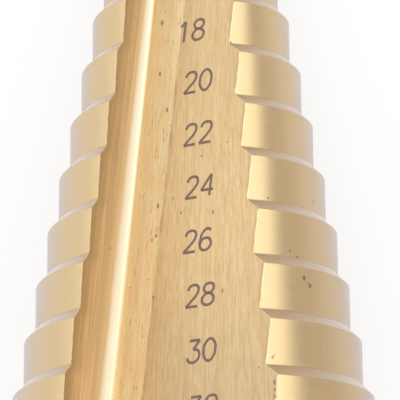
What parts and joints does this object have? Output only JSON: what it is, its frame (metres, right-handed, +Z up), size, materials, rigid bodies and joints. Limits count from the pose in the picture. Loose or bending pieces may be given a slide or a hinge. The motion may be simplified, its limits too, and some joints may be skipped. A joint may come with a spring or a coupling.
{
  "type": "step drill",
  "caption": "Gold-coated step drill bit with cylindrical steps from 4 to 32 mm, straight flutes, a split point and a round shank with drive flats, lying on its side.",
  "frame": {"origin": "on the bench under the middle of the bounding box of the drill as it lies", "axes": "+Y towards the tip, +Z up, +X to the right when the tip points away; the drill's own axis lies in the YZ plane and dips about 9 degrees towards the tip"},
  "size_m": [0.032, 0.0976, 0.0271],
  "materials": {
    "coated_steel": "gold titanium nitride coating over ground tool steel"
  },
  "bodies": {
    "root": {"step_drill": "coated_steel"}
  },
  "joints": []
}
